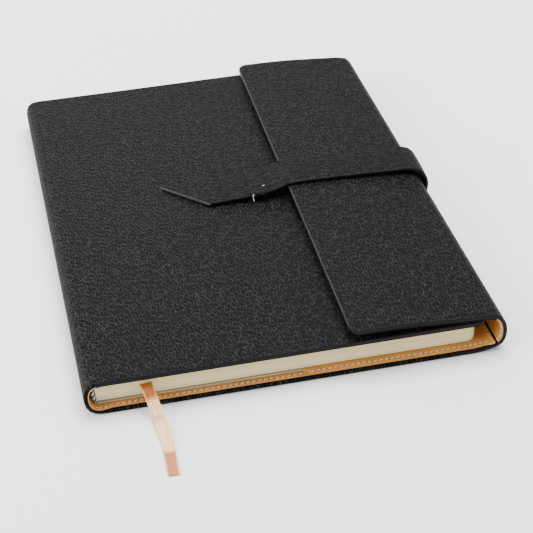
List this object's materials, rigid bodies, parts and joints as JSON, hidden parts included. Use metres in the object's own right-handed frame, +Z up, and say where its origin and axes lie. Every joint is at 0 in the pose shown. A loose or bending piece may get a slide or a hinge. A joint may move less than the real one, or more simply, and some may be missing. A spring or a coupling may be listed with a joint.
{
  "type": "leather notebook cover",
  "caption": "Wrap-around black leather notebook cover with a fore-edge wall, a front flap and a strap tucked through a keeper, closed over a notebook refill with a ribbon bookmark.",
  "frame": {"origin": "on the table under the middle of the closed cover, the ribbon's free tail left out", "axes": "+X from the spine to the fore edge, +Y from the tail to the head, +Z up through the front cover"},
  "size_m": [0.1714, 0.2583, 0.0213],
  "materials": {
    "black_leather": "pebbled, semi-matt",
    "tan_lining": "smooth, matt",
    "grey_board": "matt fibre board",
    "cream_card": "matt card",
    "cream_paper": "matt paper",
    "white_cloth": "matt cloth",
    "striped_silk": "satin, diagonal stripes",
    "copper_satin": "satin"
  },
  "bodies": {
    "back_cover": {"back_leather": "black_leather", "back_stiffener": "grey_board", "back_lining": "tan_lining", "back_pocket": "tan_lining", "refill_back_card": "cream_card", "refill_lower_pages": "cream_paper", "refill_spine_cloth": "white_cloth", "headband_tail": "striped_silk", "headband_head": "striped_silk", "ribbon_inside": "copper_satin", "bookmark_ribbon": "copper_satin"},
    "spine": {"spine_leather": "black_leather", "spine_lining": "tan_lining"},
    "front_cover": {"front_leather": "black_leather", "front_stiffener": "grey_board", "front_lining": "tan_lining", "front_pocket": "tan_lining", "refill_front_card": "cream_card", "strap_keeper": "black_leather"},
    "leaves": {"refill_upper_pages": "cream_paper"},
    "fore_edge": {"fore_edge_leather": "black_leather", "fore_edge_lining": "tan_lining", "strap_wrap": "black_leather"},
    "flap": {"flap_leather": "black_leather", "flap_stiffener": "grey_board", "flap_lining": "tan_lining"},
    "strap": {"strap_leather": "black_leather", "strap_backing": "black_leather"}
  },
  "joints": [
    {"name": "cover_open", "type": "hinge", "parent": "back_cover", "child": "spine", "pos_m": [-0.0804, 0, 0], "axis": [0, -1, 0], "range_deg": [0, 88]},
    {"name": "front_cover_fold", "type": "hinge", "parent": "spine", "child": "front_cover", "pos_m": [-0.0804, 0, 0.0143], "axis": [0, -1, 0], "range_deg": [0, 88]},
    {"name": "pages_turn", "type": "hinge", "parent": "back_cover", "child": "leaves", "pos_m": [-0.0798, 0, 0.0101], "axis": [0, -1, 0], "range_deg": [0, 178]},
    {"name": "flap_open", "type": "hinge", "parent": "back_cover", "child": "fore_edge", "pos_m": [0.0791, 0, 0], "axis": [0, 1, 0], "range_deg": [0, 88]},
    {"name": "flap_fold", "type": "hinge", "parent": "fore_edge", "child": "flap", "pos_m": [0.0791, 0, 0.0168], "axis": [0, 1, 0], "range_deg": [0, 88]},
    {"name": "strap_lift", "type": "hinge", "parent": "flap", "child": "strap", "pos_m": [0.0761, 0, 0.01721], "axis": [0, 1, 0], "range_deg": [0, 90]}
  ],
  "couplings": [
    {"joint": "front_cover_fold", "follows": "cover_open", "ratio": 1},
    {"joint": "pages_turn", "follows": "cover_open", "ratio": 2.02},
    {"joint": "flap_fold", "follows": "flap_open", "ratio": 1}
  ]
}
